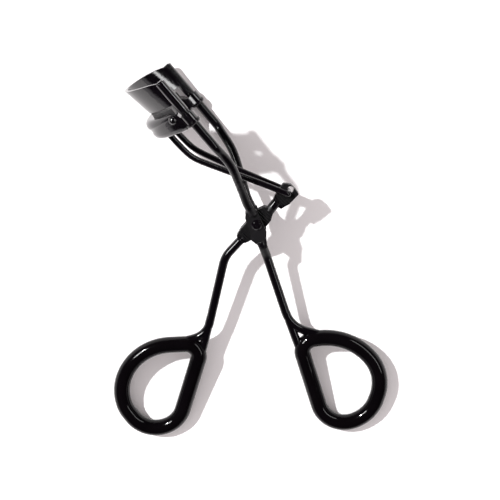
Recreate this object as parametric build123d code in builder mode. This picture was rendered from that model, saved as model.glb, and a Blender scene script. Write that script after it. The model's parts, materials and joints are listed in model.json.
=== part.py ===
"""Eyelash curler: wire frame, curved clamping head, U-link and two finger rings.

Everything is drawn in the tool frame: the handles and guide rods cross at the origin, the near side
is at +Z, the handles point towards -Y and the head towards +Y. The finished pieces are then laid down on the table
by one resting placement. Units are mm.
"""
from build123d import *
from math import cos, radians, sin
import os

os.makedirs("parts", exist_ok=True)

# ---------------------------------------------------------------- resting placement
rest_tilt = 8.18            # the head end is propped up by the jaw, the other end rests on the rings
rest_roll = 0.25
rest_shift = (1.654, 9.83, 11.388)

# ---------------------------------------------------------------- head directions
guide_angle = 129.7         # direction of the guide rods in the tool plane
up = Vector(cos(radians(guide_angle)), sin(radians(guide_angle)), 0)
forward = Vector(-up.Y, up.X, 0)
side = Plane(origin=(0, 0, 0), x_dir=forward, z_dir=(0, 0, -1))      # local (forward, up)


def across(height):
    """Plane square to the guide rods: local (forward, near side)."""
    return Plane(origin=up * height, x_dir=forward, z_dir=up)


def head(f, u, z=0.0):
    """Point of the head in tool coordinates."""
    return forward * f + up * u + Vector(0, 0, z)


# ---------------------------------------------------------------- wires and rods
handle_r = 1.28
core_r = 1.34               # the wire loop inside a grip
tail_r = 1.24               # the wire's end, brazed back onto the shank
grip_r = 2.4
guide_r = 1.25
link_r = 0.88
arm_r = 1.4                 # lever's arm between its two plates
tenon_r = 0.85

guide_f = -8.0              # line of the guide rods behind the pivot-to-head axis
guide_z = 14.15             # half spacing of the guide rods
guide_top = 50.2

# ---------------------------------------------------------------- pivot stack
pivot = (0.1, 0.9)
cheek_in = 1.5
cheek_t = 1.55
lever_t = 2.4
pivot_r = 1.0
pivot_play = 0.05
head_r = 1.6

# ---------------------------------------------------------------- crank, link and hinge
eye = head(-13.29, 1.46)
eye_t = 1.7
link_leg = 2.0              # half spacing of the link's legs at the eye
hinge_f = 0.8
hinge_u = 38.3
link_wide = 5.5             # half spacing of the link's legs at the jaw
hinge_hole_r = 1.3          # oversize: this is the pivot left open in the linkage

# ---------------------------------------------------------------- upper jaw
plate_t = 0.85
tube_r = 1.36
tube_low = 40.2
apex_low = (2.0, 44.76)
apex_high = (3.2, 53.5)

# ---------------------------------------------------------------- lower jaw
jaw_low = 37.2
jaw_rim = 43.4
floor_low = 40.0
floor_high = 40.7
jaw_apex = 5.1
jaw_back = -1.3
jaw_wide = 15.6             # half width at the guide rods
waist_r = 2.0               # shallow hollow pressed round the outside
waist_depth = 0.25
boss_r = 1.3                # bump where the channel is folded over the pad end
wall = 1.85                 # outer wall beside the hinge pocket
back_wall = 0.4
web_in = 3.1                # inner face of the hinge webs
sleeve_r = 1.9
sleeve_low = 36.7
sleeve_top = 39.3
pad_w = 2.2
pad_inset = 0.95            # pad centre line behind the middle of the upper jaw's edge
pad_top = 44.0
eyelet_r = 1.55
flange_r = 2.15
guide_play = 0.06


def bent_wire(points, bends, radius):
    """Round wire along straight runs joined by arcs of the given bend radii."""
    with BuildPart() as wire:
        with BuildLine() as path:
            if bends:
                FilletPolyline(*points, radius=bends)
            else:
                Line(*points)
        course = path.wire()
        with BuildSketch(Plane(origin=course @ 0, z_dir=course % 0)):
            Circle(radius)
        sweep(path=course, transition=Transition.ROUND)
    return wire.part


def ring_loop(corners, bends, radius):
    """Closed round loop: a polygon of tangent lines with its own bend radius at each corner."""
    with BuildSketch() as outline:
        with BuildLine():
            Polyline(*corners, close=True)
        make_face()
        for corner, bend in zip(corners, bends):
            fillet(outline.vertices().sort_by_distance(corner)[0], bend)
    course = outline.face().outer_wire()
    with BuildPart() as loop:
        with BuildSketch(Plane(origin=course @ 0, z_dir=course % 0)):
            Circle(radius)
        sweep(path=course, transition=Transition.ROUND)
    return loop.part


# ================================================================ finger ring centre lines
lever_ring = ([(-15.7, -36.6), (-27.2, -74.6), (-39.6, -57.4), (-40.9, -50.7), (-35.5, -37.6)],
              [3.8, 8.6, 10.2, 13.7, 15.4])
fixed_ring = ([(12.6, -36.0), (21.8, -65.9), (34.9, -59.1), (38.6, -46.2), (26.9, -33.5)],
              [4.0, 8.1, 10.8, 13.3, 17.3])

# ================================================================ moving handle (lever)
lever_plate = [
    (-5.7, -3.0), (-4.4, -0.8), (-2.6, 1.3), (0.4, 4.8), (2.2, 5.7), (3.3, 5.4), (4.75, 3.75),
    (4.2, 1.6), (1.6, -1.6), (-1.4, -4.2), (-2.6, -4.9), (-4.3, -5.4), (-5.2, -4.2),
]
eye_plate = [
    (7.1, 5.0), (9.4, 6.35), (12.15, 9.35), (11.3, 10.6), (9.9, 12.1), (8.9, 12.35), (7.6, 12.4),
    (6.8, 11.3), (5.3, 9.0), (4.7, 7.6), (5.6, 6.4), (6.4, 5.4),
]
lever_wire = (
    ring_loop(*lever_ring, core_r)
    + bent_wire([(-3.6, -3.5), (-9.1, -9.6), (-14.6, -34.0), (-26.0, -37.1)], [9, 7], handle_r)
    + bent_wire([(-18.6, -46.6), (-16.1, -39.2), (-13.4, -28.2)], [30], tail_r)
)

with BuildPart() as lever:
    add(lever_wire)
    # flattened pivot plate and eye plate
    with BuildSketch(Plane.XY.offset(-lever_t / 2)) as flat:
        with BuildLine():
            Polyline(*lever_plate, close=True)
        make_face()
        fillet(flat.vertices(), 0.35)
    extrude(amount=lever_t)
    with BuildSketch(Plane.XY.offset(-eye_t / 2)) as flat:
        with BuildLine():
            Polyline(*eye_plate, close=True)
        make_face()
        fillet(flat.vertices(), 0.4)
    extrude(amount=eye_t)
    # round arm between the plates
    arm = Plane(origin=(3.7, 4.2, 0), z_dir=(0.616, 0.788, 0))
    with BuildSketch(arm):
        Circle(arm_r)
    extrude(amount=3.4)
    # crimp grooves pressed across the plates
    for x, y, thick in ((-3.6, -3.6, lever_t), (2.75, 3.05, lever_t), (7.0, 8.1, eye_t)):
        for face in (1, -1):
            press = Plane(origin=(x, y, face * thick / 2), x_dir=(eye.X, eye.Y, 0), z_dir=(0, 0, face))
            with BuildSketch(press):
                with GridLocations(0.72, 1, 4, 1):
                    Rectangle(0.34, 7)
            extrude(amount=-0.2, mode=Mode.SUBTRACT)
    # pivot bore and slotted link eye
    with BuildSketch(Plane.XY.offset(-4)):
        with Locations(pivot):
            Circle(pivot_r + pivot_play)
    extrude(amount=8, mode=Mode.SUBTRACT)
    with BuildSketch(Plane(origin=eye + Vector(0.23, 0.57, -4), x_dir=(0.374, 0.927, 0), z_dir=(0, 0, 1))):
        SlotOverall(2 * (link_r + 0.07) + 1.23, 2 * (link_r + 0.07))
    extrude(amount=8, mode=Mode.SUBTRACT)

# ================================================================ near frame wire
near_cheek = [
    (-2.9, 5.0), (-3.2, 2.9), (-2.5, 0.5), (-1.5, -1.6), (-1.4, -3.8), (0.4, -5.2), (1.3, -6.6),
    (3.2, -6.0), (2.9, -3.6), (2.9, -1.2), (2.2, 0.4), (0.0, 5.3),
]
far_cheek = [
    (-2.9, 5.0), (-3.2, 2.9), (-2.5, 0.5), (-1.5, -1.6), (-1.3, -3.4), (0.3, -4.9), (2.0, -4.6),
    (2.9, -3.2), (2.9, -1.2), (2.2, 0.4), (0.0, 5.3),
]
guide_course = [
    head(guide_f, 28.8, guide_z), head(-7.85, 25.0, 12.6), head(-7.35, 20.0, 10.2),
    head(-5.7, 15.0, 7.6), head(-3.7, 10.0, 4.9), head(-2.35, 6.3, 3.4), head(-1.7, 3.6, 2.6),
]

fixed_shank = [(1.36, -4.2, 2.2), (1.75, -5.4, 2.2), (2.9, -9.0, 0), (10.15, -31.4, 0), (24.5, -35.4, 0)]
fixed_wire = (
    ring_loop(*fixed_ring, core_r)
    + bent_wire(fixed_shank, [2.5, 4, 9], handle_r)
    + bent_wire([(15.6, -46.0), (8.8, -26.8)], [], tail_r)
)


def cheek_and_guide(outline):
    """Guide rod whose lower end is flattened into a pivot cheek, near side."""
    with BuildPart() as half:
        with BuildLine() as path:
            Line(head(guide_f, 40.0, guide_z), head(guide_f, 28.8, guide_z))
            Spline(*guide_course, tangents=[up * -1, head(0.35, -1.0, -0.2)])
        course = path.wire()
        with BuildSketch(Plane(origin=course @ 0, z_dir=course % 0)):
            Circle(guide_r)
        sweep(path=course, transition=Transition.ROUND)
        # straight top: shoulder under the jaw tube, then the reduced end
        with BuildSketch(across(39.9)) as top:
            with Locations((guide_f, guide_z)):
                Circle(guide_r)
        extrude(amount=0.25)
        with BuildSketch(across(40.0)):
            with Locations((guide_f, guide_z)):
                Circle(tenon_r)
        extrude(amount=guide_top + 0.25 - 40.0)
        # flattened cheek
        with BuildSketch(Plane.XY.offset(cheek_in)) as flat:
            with BuildLine():
                Polyline(*outline, close=True)
            make_face()
            fillet(flat.vertices(), 0.5)
        extrude(amount=cheek_t)
        # keep the wire out of the lever's slot
        with BuildSketch(Plane.XY.offset(-6)):
            with Locations((0, -1)):
                Rectangle(16, 12)
        extrude(amount=6 + cheek_in, mode=Mode.SUBTRACT)
        with BuildSketch(Plane.XY.offset(cheek_in - 1)):
            with Locations(pivot):
                Circle(pivot_r)
        extrude(amount=cheek_t + 3, mode=Mode.SUBTRACT)
    return half.part


near_half = cheek_and_guide(near_cheek)
far_half = mirror(cheek_and_guide(far_cheek), about=Plane.XY)

with BuildPart() as lever_room:
    with BuildSketch(Plane.XY.offset(-4)):
        with Locations((0, -0.9)):
            Rectangle(16, 8.6)
    extrude(amount=4 + cheek_in)
    with BuildSketch(Plane.XY.offset(-4)):
        with Locations(pivot):
            Circle(pivot_r)
    extrude(amount=12)

with BuildPart() as near_frame_wire:
    add(near_half)
    add(fixed_wire)
    add(lever_room.part, mode=Mode.SUBTRACT)

with BuildPart() as far_frame_wire:
    add(far_half)

# ================================================================ ring grips
with BuildPart() as lever_grip:
    add(ring_loop(*lever_ring, grip_r))
    add(lever_wire, mode=Mode.SUBTRACT)

with BuildPart() as fixed_grip:
    add(ring_loop(*fixed_ring, grip_r))
    add(fixed_wire, mode=Mode.SUBTRACT)

# ================================================================ pivot rivet
with BuildPart() as pivot_rivet:
    with BuildSketch(Plane(origin=(*pivot, 0), x_dir=(1, 0, 0), z_dir=(0, -1, 0))) as profile:
        with BuildLine():
            outer = cheek_in + cheek_t
            Polyline((0, -outer - 0.55), (0.45, -outer - 0.75), (1.1, -outer - 0.7), (head_r, -outer - 0.3),
                     (head_r, -outer), (pivot_r, -outer), (pivot_r, outer), (head_r, outer),
                     (head_r, outer + 0.3), (1.1, outer + 0.7), (0.45, outer + 0.75), (0, outer + 0.55),
                     close=True)
        make_face()
    revolve(axis=Axis((*pivot, 0), (0, 0, 1)))

# ================================================================ link
leg = [
    (-9.4, 8.9, 2.3), (-5.1, 17.0, 3.5), (-1.5, 24.0, 4.8), (0.15, 28.0, 5.4), (0.65, 32.0, link_wide),
]
with BuildPart() as link:
    with BuildLine() as path:
        near = [head(f, u, z) for f, u, z in leg]
        end = head(hinge_f, hinge_u - 1.2, link_wide)
        hook = head(hinge_f, hinge_u, link_wide - 1.2)
        tip = head(hinge_f, hinge_u, link_wide - 3.0)
        along = (near[0] - head(-13.29, 1.46, link_leg)).normalized()
        start = eye + Vector(0, 0, link_leg - 1.1)
        bend = eye + Vector(0, 0, link_leg) + along * 1.1
        Line(eye, start)
        Spline(start, bend, tangents=[(0, 0, 1), along])
        Spline(bend, *near, end, tangents=[along, up])
        Spline(end, hook, tangents=[up, (0, 0, -1)])
        Line(hook, tip)
    course = path.wire()
    with BuildSketch(Plane(origin=course @ 0, z_dir=(0, 0, 1))):
        Circle(link_r)
    sweep(path=course, transition=Transition.ROUND)
    mirror(about=Plane.XY)

# ================================================================ upper jaw
with BuildPart() as upper_jaw:
    slope = (apex_high[0] - apex_low[0]) / (apex_high[1] - apex_low[1])
    for height in (38.0, 56.0):
        apex = apex_low[0] + slope * (height - apex_low[1])
        with BuildSketch(across(height)):
            with BuildLine():
                ThreePointArc((guide_f, -guide_z - 0.42), (apex, 0), (guide_f, guide_z + 0.42))
                ThreePointArc((guide_f, -guide_z + 0.42), (apex - plate_t, 0), (guide_f, guide_z - 0.42))
                Line((guide_f, -guide_z - 0.42), (guide_f, -guide_z + 0.42))
                Line((guide_f, guide_z - 0.42), (guide_f, guide_z + 0.42))
            make_face()
    loft()
    with BuildSketch(side) as trim:
        with BuildLine():
            Polyline((-9.8, 43.3), (-6.0, 43.4), apex_low, (6.0, 45.2), (6.0, 54.2), apex_high,
                     (-1.0, 52.5), (-5.0, 51.3), (-7.6, guide_top), (-9.8, guide_top), close=True)
        make_face()
    extrude(amount=20, both=True, mode=Mode.INTERSECT)
    with BuildSketch(across(tube_low)):
        with Locations((guide_f, guide_z), (guide_f, -guide_z)):
            Circle(tube_r)
    extrude(amount=guide_top - tube_low)
    # bores, and the open seam where the sheet is rolled round the rod
    with BuildSketch(across(tube_low - 1)):
        with Locations((guide_f, guide_z), (guide_f, -guide_z)):
            Circle(tenon_r)
        with Locations((guide_f - 0.5, guide_z - 1.1), (guide_f - 0.5, -guide_z + 1.1)):
            Rectangle(0.28, 1.8)
    extrude(amount=guide_top - tube_low + 4, mode=Mode.SUBTRACT)

# ================================================================ lower jaw
with BuildPart() as jaw_block:
    with BuildSketch(across(30)):
        with BuildLine():
            ThreePointArc((guide_f, -jaw_wide), (jaw_apex, 0), (guide_f, jaw_wide))
            ThreePointArc((guide_f, -11.6), (jaw_back, 0), (guide_f, 11.6))
            Line((guide_f, -jaw_wide), (guide_f, -11.6))
            Line((guide_f, 11.6), (guide_f, jaw_wide))
        make_face()
    extrude(amount=16)
    with BuildSketch(side) as trim:
        with BuildLine():
            Polyline((-9, sleeve_low), (-5.8, sleeve_low), (-5.5, 35.6), (3.0, jaw_low),
                     (6.0, jaw_low + 0.4), (6.0, 43.7), (3.2, jaw_rim), (-3.9, 42.1), (-5.9, 40.4),
                     (-6.4, 39.5), (-9, sleeve_top), close=True)
        make_face()
    extrude(amount=20, both=True, mode=Mode.INTERSECT)
    outer_face = jaw_block.faces().filter_by(GeomType.CYLINDER).sort_by(SortBy.AREA)[-1]
    rims = outer_face.edges().sort_by(SortBy.LENGTH)[-2:].sort_by(Axis(origin=(0, 0, 0), direction=up))
    fillet(rims[1], 1.7)
    outer_face = jaw_block.faces().filter_by(GeomType.CYLINDER).sort_by(SortBy.AREA)[-1]
    rims = outer_face.edges().sort_by(SortBy.LENGTH)[-2:].sort_by(Axis(origin=(0, 0, 0), direction=up))
    fillet(rims[0], 1.6)


def pad_band(height, end_f):
    """Curved band under the edge of the upper jaw, cut square at end_f."""
    with BuildSketch(across(height)) as band:
        with Locations((pad_centre, 0)):
            Circle(pad_mid_r + pad_w / 2)
            Circle(pad_mid_r - pad_w / 2, mode=Mode.SUBTRACT)
        with Locations((end_f + 10, 0)):
            Rectangle(20, 40, mode=Mode.INTERSECT)
    return band.sketch


edge_rise = apex_low[0] - guide_f
edge_r = (edge_rise**2 + guide_z**2) / (2 * edge_rise)
pad_centre = apex_low[0] - edge_r
pad_mid_r = edge_r - plate_t / 2 - pad_inset

with BuildPart() as lower_jaw:
    add(jaw_block.part)
    # shallow waist pressed round the channel
    bulge = jaw_apex - guide_f
    block_r = (bulge**2 + jaw_wide**2) / (2 * bulge)
    block_axis = Axis(origin=head(jaw_apex - block_r, 0), direction=up)
    with BuildSketch(side):
        with Locations((jaw_apex + waist_r - waist_depth, 40.3)):
            Circle(waist_r)
    revolve(axis=block_axis, revolution_arc=360, mode=Mode.SUBTRACT)
    # pad channel, and the pocket under it that hides the link hinge
    extrude(pad_band(floor_high, -5.6), amount=8, dir=up, mode=Mode.SUBTRACT)
    with BuildSketch(across(jaw_low - 2)):
        with BuildLine():
            ThreePointArc((-4.6, -12.9), (jaw_apex - wall, 0), (-4.6, 12.9))
            ThreePointArc((-4.6, -11.2), (jaw_back + back_wall, 0), (-4.6, 11.2))
            Line((-4.6, -12.9), (-4.6, -11.2))
            Line((-4.6, 11.2), (-4.6, 12.9))
        make_face()
    extrude(amount=floor_low - jaw_low + 2, mode=Mode.SUBTRACT)
    # hinge webs inside the pocket, drilled for the hooked ends of the link
    for z in (web_in + 1.0, -web_in):
        with BuildSketch(Plane(origin=(0, 0, z), x_dir=forward, z_dir=(0, 0, -1))):
            with BuildLine():
                Polyline((-1.5, floor_low + 0.2), (3.5, floor_low + 0.2), (3.5, 38.6), (2.5, 38.2),
                         (2.1, 36.5), (0, 36.3), (-0.6, 37.2), (-1.5, 37.6), close=True)
            make_face()
            with Locations((hinge_f, hinge_u)):
                Circle(hinge_hole_r, mode=Mode.SUBTRACT)
        extrude(amount=1.0)
    # folds over the pad ends
    for z in (13.55, -13.55):
        with Locations(head(-4.0, 40.1, z)):
            Sphere(boss_r)
    # sleeves on the guide rods
    with BuildSketch(across(sleeve_low)):
        with Locations((guide_f, guide_z), (guide_f, -guide_z)):
            Circle(sleeve_r)
    extrude(amount=sleeve_top - sleeve_low)
    with BuildSketch(across(sleeve_low - 2)):
        with Locations((guide_f, guide_z), (guide_f, -guide_z)):
            Circle(eyelet_r)
    extrude(amount=sleeve_top - sleeve_low + 2, mode=Mode.SUBTRACT)
    # room above the sleeves for the fixed jaw's tubes
    with BuildSketch(across(sleeve_top)):
        with Locations((guide_f, guide_z), (guide_f, -guide_z)):
            Circle(tube_r + 0.35)
    extrude(amount=6, mode=Mode.SUBTRACT)

# ================================================================ pad
with BuildPart() as lash_pad:
    extrude(pad_band(floor_high, -5.5), amount=8, dir=up)
    with BuildSketch(side):
        with BuildLine():
            Polyline((-9, 40), (6, 40), (6, 44.7), (apex_low[0], pad_top), (-6.0, 42.65), (-9, 42.2),
                     close=True)
        make_face()
    extrude(amount=20, both=True, mode=Mode.INTERSECT)

# ================================================================ guide eyelets
with BuildPart() as eyelet:
    with BuildSketch(side) as profile:
        with BuildLine():
            bore = guide_r + guide_play
            Polyline((guide_f + bore, sleeve_top), (guide_f + eyelet_r, sleeve_top),
                     (guide_f + eyelet_r, sleeve_low), (guide_f + flange_r, sleeve_low),
                     (guide_f + flange_r, sleeve_low - 0.6), (guide_f + flange_r - 0.3, sleeve_low - 0.95),
                     (guide_f + bore + 0.1, sleeve_low - 0.95), (guide_f + bore, sleeve_low - 0.8),
                     close=True)
        make_face()
    revolve(axis=Axis(origin=head(guide_f, 0), direction=up))
near_eyelet = eyelet.part.moved(Location((0, 0, guide_z)))
far_eyelet = eyelet.part.moved(Location((0, 0, -guide_z)))

# ================================================================ lay down and export
resting = Location(rest_shift) * Location((0, 0, 0), (rest_tilt, rest_roll, 0))
pieces = {
    "near_frame_wire": near_frame_wire.part,
    "far_frame_wire": far_frame_wire.part,
    "fixed_grip": fixed_grip.part,
    "upper_jaw": upper_jaw.part,
    "pivot_rivet": pivot_rivet.part,
    "lever": lever.part,
    "lever_grip": lever_grip.part,
    "link": link.part,
    "lower_jaw": lower_jaw.part,
    "lash_pad": lash_pad.part,
    "near_eyelet": near_eyelet,
    "far_eyelet": far_eyelet,
}
for label, piece in pieces.items():
    placed = resting * piece
    placed.label = label
    export_step(placed, f"parts/{label}.step")
    box = placed.bounding_box()
    print(label, len(placed.solids()), round(placed.volume, 2), box.min, box.max)
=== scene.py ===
"""Eyelash curler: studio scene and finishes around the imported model. Units are metres."""
import json
import math

import bpy
from mathutils import Euler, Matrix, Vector


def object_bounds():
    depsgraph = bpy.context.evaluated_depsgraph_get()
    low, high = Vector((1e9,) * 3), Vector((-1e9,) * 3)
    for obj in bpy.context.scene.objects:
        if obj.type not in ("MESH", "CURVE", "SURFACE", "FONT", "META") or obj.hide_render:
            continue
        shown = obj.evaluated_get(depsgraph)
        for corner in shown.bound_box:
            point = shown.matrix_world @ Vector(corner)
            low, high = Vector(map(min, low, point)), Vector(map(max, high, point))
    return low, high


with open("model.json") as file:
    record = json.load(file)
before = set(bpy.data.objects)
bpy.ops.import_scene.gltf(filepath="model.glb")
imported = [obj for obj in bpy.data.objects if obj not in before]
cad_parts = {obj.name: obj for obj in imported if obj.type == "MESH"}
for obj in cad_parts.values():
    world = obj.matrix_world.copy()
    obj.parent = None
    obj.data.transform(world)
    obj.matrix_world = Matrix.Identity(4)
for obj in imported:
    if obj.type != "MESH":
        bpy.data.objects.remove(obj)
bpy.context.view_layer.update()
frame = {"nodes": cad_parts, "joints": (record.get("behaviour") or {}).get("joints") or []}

nodes = frame["nodes"]
low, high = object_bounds()
middle = (low + high) / 2
length = high.y - low.y
pivot = next(Vector(j["pos_m"]) for j in frame["joints"] if j["name"] == "lever_pivot")
link_eye = next(Vector(j["pos_m"]) for j in frame["joints"] if j["name"] == "link_hinge")

# ---------------------------------------------------------------- finishes
lacquer_colour = (0.0022, 0.0016, 0.0024)
coat_colour = (0.0016, 0.0012, 0.0016)
pad_colour = (0.018, 0.017, 0.018)
# painted light: the frame's cheek and shank patches are tinted lighter than the lacquer, standing in for
# the light they catch
cheek_painted_light_colour = (0.0034, 0.0026, 0.0039)
# painted shade: the lever's pressed plates are tinted darker than the lacquer, so they read as shaded
# beside the lighter cheek
plate_painted_shade_colour = (0.0018, 0.0014, 0.0021)
wire_ior = 1.36
grip_ior = 1.26
jaw_ior = 1.65                 # the wide jaws show more of the floor in their enamel
gloss = (0.06, 0.12)           # lowest and highest roughness of each finish
coat_gloss = (0.05, 0.10)
pressed_matt = (0.38, 0.55)
pad_matt = (0.42, 0.62)
neck_roughness = 0.2           # added where a rod was drawn out towards its cheek
plate_edge = 0.00022           # rounding of the pressed plates' edges
sheet_edge = 0.00016

# relief heights
peel_depth = 0.000012
grain_depth = 0.00004
coat_wave_depth = 0.00012
pad_skin_depth = 0.00003

# matt and dull patches: centre, radius inside which they are whole, radius where they end. The frame's
# and the lever's pressed patches also carry painted light and painted shade in their colour
rods_from_pivot = Vector((-0.0075, 0.0090, 0.0013))
shank_from_pivot = Vector((0.0022, -0.0082, -0.0001))
cheek_patch = (pivot, 0.0058, 0.0070)
shank_patch = (pivot + shank_from_pivot, 0.0020, 0.0034)      # where the fixed handle steps inwards
drawn_rods = (pivot + rods_from_pivot, 0.007, 0.017)
lever_plate_patch = (pivot, 0.0062, 0.0068)
eye_plate_patch = (link_eye, 0.0036, 0.0042)

# ---------------------------------------------------------------- light
floor_white = (0.95, 0.945, 0.95)
ambient_colour = (1.0, 0.925, 0.93)
ambient_strength = 0.73
sweep_colour = (0.80, 0.77, 0.80)        # the room in reflections: a pale sweep near the horizon
ceiling_colour = (0.006, 0.006, 0.007)
sweep_top = 0.12                         # sine of the elevation where the sweep starts to darken
ceiling_start = 0.20
key_direction = Vector((0.773, -0.497, -1.0))
key_strength = 4.0
key_angle = math.radians(2.2)
softbox_distance = 0.6
# softboxes: name, direction from the object, width, height, radiance
softboxes = [
    ("softbox_key", Vector((-0.645, 0.222, 0.731)), 0.19, 0.10, 50),
    ("softbox_side", Vector((0.749, 0.146, 0.645)), 0.58, 0.085, 9),
]

# ---------------------------------------------------------------- camera
camera_lean = math.radians(-9.32)        # leans back over the head end, from straight down
camera_roll = math.radians(0.25)
camera_place = (0.0014, 0.0610, 0.3678)
camera_lens = 89.94


def new_material(name, colour, roughness, ior=None):
    material = bpy.data.materials.new(name)
    material.use_nodes = True
    shader = shader_of(material)
    shader.inputs["Base Color"].default_value = (*colour, 1)
    shader.inputs["Roughness"].default_value = roughness
    if ior:
        shader.inputs["IOR"].default_value = ior
    return material


def shader_of(material):
    return material.node_tree.nodes["Principled BSDF"]


def add_node(material, kind):
    return material.node_tree.nodes.new(kind)


def join(material, output, socket):
    material.node_tree.links.new(output, socket)


def position(material):
    return add_node(material, "ShaderNodeTexCoord").outputs["Object"]


def noise(material, scale, detail):
    """Noise over the piece's own coordinates; the scale is in features per metre."""
    texture = add_node(material, "ShaderNodeTexNoise")
    texture.inputs["Scale"].default_value = scale
    texture.inputs["Detail"].default_value = detail
    join(material, position(material), texture.inputs["Vector"])
    return texture.outputs["Fac"]


def spread(material, value, from_low, from_high, to_low, to_high):
    """Stretch a value from one range to another."""
    node = add_node(material, "ShaderNodeMapRange")
    join(material, value, node.inputs["Value"])
    for name, number in (("From Min", from_low), ("From Max", from_high),
                         ("To Min", to_low), ("To Max", to_high)):
        node.inputs[name].default_value = number
    return node.outputs["Result"]


def uneven(material, value, limits):
    """A noise value's middle range, stretched between two limits."""
    return spread(material, value, 0.3, 0.7, *limits)


def maths(material, operation, first, second):
    node = add_node(material, "ShaderNodeMath")
    node.operation = operation
    for socket, value in zip(node.inputs, (first, second)):
        if isinstance(value, (int, float)):
            socket.default_value = value
        else:
            join(material, value, socket)
    return node.outputs[0]


def blend_colour(material, factor, first, second):
    node = add_node(material, "ShaderNodeMix")
    node.data_type = "RGBA"
    join(material, factor, node.inputs["Factor"])
    node.inputs["A"].default_value = (*first, 1)
    node.inputs["B"].default_value = (*second, 1)
    return node.outputs["Result"]


def scaled(colour, factor):
    return tuple(factor * channel for channel in colour)


def bump(material, height, distance, edge_radius=0.0):
    """Fine relief in the surface, over edges that look rounded where a radius is given."""
    node = add_node(material, "ShaderNodeBump")
    node.inputs["Distance"].default_value = distance
    join(material, height, node.inputs["Height"])
    if edge_radius:
        soft_edge = add_node(material, "ShaderNodeBevel")
        soft_edge.samples = 8
        soft_edge.inputs["Radius"].default_value = edge_radius
        join(material, soft_edge.outputs["Normal"], node.inputs["Normal"])
    join(material, node.outputs["Normal"], shader_of(material).inputs["Normal"])


def near_point(material, centre, inner, outer):
    """1 inside the inner radius round a point of the piece, fading to 0 at the outer one."""
    node = add_node(material, "ShaderNodeVectorMath")
    node.operation = "DISTANCE"
    join(material, position(material), node.inputs[0])
    node.inputs[1].default_value = centre
    return spread(material, node.outputs["Value"], inner, outer, 1.0, 0.0)


def lacquer(name, ior):
    """Baked black lacquer: faint orange peel and dust-fine haze."""
    material = new_material(name, lacquer_colour, 0.09, ior)
    shader = shader_of(material)
    rough = uneven(material, noise(material, 420, 5), gloss)
    specks = spread(material, noise(material, 1500, 3), 0.35, 0.75, 0.0, 1.0)
    tint = blend_colour(material, specks, lacquer_colour, scaled(lacquer_colour, 1.8))
    peel = noise(material, 1700, 2)
    join(material, rough, shader.inputs["Roughness"])
    join(material, tint, shader.inputs["Base Color"])
    bump(material, peel, peel_depth, sheet_edge)
    return material


def pressed_lacquer(name, colour, plates, neck=None):
    """The same lacquer with matt, finely grained patches where the wire was pressed flat.

    The neck is a stretch of wire that was drawn out and is a little duller than the rest.
    """
    material = new_material(name, lacquer_colour, 0.09, wire_ior)
    shader = shader_of(material)
    patch = near_point(material, *plates[0])
    for plate in plates[1:]:
        patch = maths(material, "MAXIMUM", patch, near_point(material, *plate))
    glossy = uneven(material, noise(material, 420, 5), gloss)
    if neck:
        drawn = maths(material, "MULTIPLY", near_point(material, *neck), neck_roughness)
        glossy = maths(material, "ADD", glossy, drawn)
    matt = uneven(material, noise(material, 3200, 3), pressed_matt)
    step = maths(material, "SUBTRACT", matt, glossy)
    rough = maths(material, "ADD", glossy, maths(material, "MULTIPLY", step, patch))
    join(material, rough, shader.inputs["Roughness"])
    # the patches take the given colour: painted light (lighter) on the frame, painted shade (darker) on
    # the lever
    join(material, blend_colour(material, patch, lacquer_colour, colour), shader.inputs["Base Color"])
    grain = maths(material, "MULTIPLY", noise(material, 3600, 3), maths(material, "ADD", patch, 0.15))
    bump(material, grain, grain_depth, plate_edge)
    return material


def grip_coat():
    """Thick dipped vinyl: slow waves in the skin, almost mirror-smooth."""
    material = new_material("grip_coat_black", coat_colour, 0.07, grip_ior)
    shader = shader_of(material)
    slow = noise(material, 90, 2)
    fine = noise(material, 2400, 2)
    height = maths(material, "ADD", slow, maths(material, "MULTIPLY", fine, 0.05))
    join(material, uneven(material, noise(material, 260, 4), coat_gloss), shader.inputs["Roughness"])
    waves = uneven(material, slow, (0, 1))
    tint = blend_colour(material, waves, coat_colour, scaled(coat_colour, 1.6))
    join(material, tint, shader.inputs["Base Color"])
    bump(material, height, coat_wave_depth)
    return material


def pad_rubber():
    """Soft moulded rubber with a fine matt skin."""
    material = new_material("pad_rubber_black", pad_colour, 0.55)
    shader = shader_of(material)
    join(material, uneven(material, noise(material, 900, 4), pad_matt), shader.inputs["Roughness"])
    tint = blend_colour(material, noise(material, 500, 3), pad_colour, scaled(pad_colour, 1.5))
    join(material, tint, shader.inputs["Base Color"])
    bump(material, noise(material, 5200, 3), pad_skin_depth)
    return material


def dress(node, material):
    slots = nodes[node].data.materials
    if not slots:
        slots.append(material)
    for index in range(len(slots)):
        slots[index] = material


def dress_all():
    wire_lacquer = lacquer("lacquer_wire", wire_ior)
    jaw_lacquer = lacquer("lacquer_jaw", jaw_ior)
    # the frame's pressed patches carry painted light in their colour, the lever's painted shade
    frame_finish = pressed_lacquer("lacquer_frame", cheek_painted_light_colour, [cheek_patch, shank_patch], drawn_rods)
    lever_finish = pressed_lacquer("lacquer_lever", plate_painted_shade_colour, [lever_plate_patch, eye_plate_patch])
    coat = grip_coat()
    for node in nodes:
        if node.endswith("_grip"):
            dress(node, coat)
        elif node.endswith("_frame_wire"):
            dress(node, frame_finish)
        elif node == "lever":
            dress(node, lever_finish)
        elif node.endswith("_jaw"):
            dress(node, jaw_lacquer)
        elif node != "lash_pad":
            dress(node, wire_lacquer)
    dress("lash_pad", pad_rubber())


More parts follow.
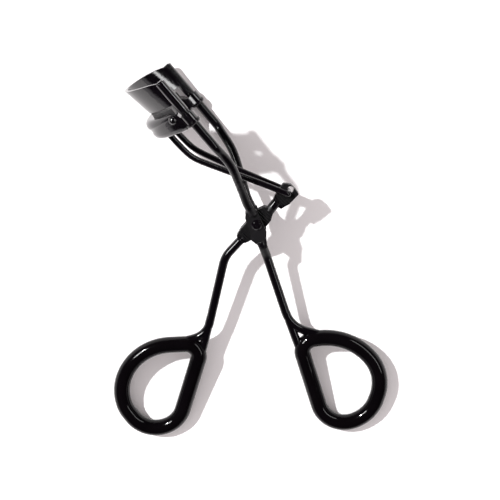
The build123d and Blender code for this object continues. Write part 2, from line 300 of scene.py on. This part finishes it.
def make_floor():
    material = new_material("floor_white", floor_white, 0.85)
    shader = shader_of(material)
    shader.inputs["Specular IOR Level"].default_value = 0.1
    tint = blend_colour(material, noise(material, 60, 3), floor_white, scaled(floor_white, 0.99))
    join(material, tint, shader.inputs["Base Color"])
    half = 12 * length
    mesh = bpy.data.meshes.new("floor")
    corners = [(sx * half, sy * half, low.z) for sx, sy in ((-1, -1), (1, -1), (1, 1), (-1, 1))]
    mesh.from_pydata(corners, [], [(0, 1, 2, 3)])
    mesh.materials.append(material)
    floor = bpy.data.objects.new("floor", mesh)
    bpy.context.scene.collection.objects.link(floor)


def place_lamp(name, data, shine):
    """Put a lamp in the scene, shining along the given direction."""
    lamp = bpy.data.objects.new(name, data)
    lamp.rotation_mode = "QUATERNION"
    lamp.rotation_quaternion = shine.to_track_quat("-Z", "Y")
    bpy.context.scene.collection.objects.link(lamp)
    return lamp


def softbox(name, towards, width, height, radiance):
    """Rectangular light far out in one direction; it shows in gloss and leaves the shadows alone."""
    data = bpy.data.lights.new(name, "AREA")
    data.shape = "RECTANGLE"
    data.size, data.size_y = width, height
    data.energy = radiance * math.pi * width * height
    lamp = place_lamp(name, data, -towards)
    lamp.location = middle + towards.normalized() * softbox_distance
    lamp.visible_diffuse = False


def make_lamps():
    for box in softboxes:
        softbox(*box)
    key = bpy.data.lights.new("key", "SUN")
    key.energy = key_strength
    key.angle = key_angle
    place_lamp("key", key, key_direction)


def make_world():
    """Even pale light on surfaces; gloss shows a pale sweep low down and darkness above it."""
    world = bpy.data.worlds.new("studio")
    world.use_nodes = True
    bpy.context.scene.world = world
    tree = world.node_tree
    background = tree.nodes["Background"]
    coords = tree.nodes.new("ShaderNodeTexCoord")
    split = tree.nodes.new("ShaderNodeSeparateXYZ")
    tree.links.new(coords.outputs["Generated"], split.inputs[0])
    ramp = tree.nodes.new("ShaderNodeValToRGB")
    sweep, ceiling = ramp.color_ramp.elements
    sweep.position = sweep_top
    sweep.color = (*sweep_colour, 1)
    ceiling.position = ceiling_start
    ceiling.color = (*ceiling_colour, 1)
    tree.links.new(split.outputs["Z"], ramp.inputs["Fac"])
    path = tree.nodes.new("ShaderNodeLightPath")
    mix = tree.nodes.new("ShaderNodeMix")
    mix.data_type = "RGBA"
    tree.links.new(path.outputs["Is Glossy Ray"], mix.inputs["Factor"])
    mix.inputs["A"].default_value = (*scaled(ambient_colour, ambient_strength), 1)
    tree.links.new(ramp.outputs["Color"], mix.inputs["B"])
    tree.links.new(mix.outputs["Result"], background.inputs["Color"])
    bpy.context.scene.view_settings.view_transform = "Standard"


def make_camera():
    data = bpy.data.cameras.new("camera")
    data.lens = camera_lens
    data.clip_end = 10
    camera = bpy.data.objects.new("camera", data)
    camera.rotation_euler = Euler((camera_lean, camera_roll, 0))
    camera.location = camera_place
    bpy.context.scene.collection.objects.link(camera)
    bpy.context.scene.camera = camera


dress_all()
make_floor()
make_lamps()
make_world()
make_camera()
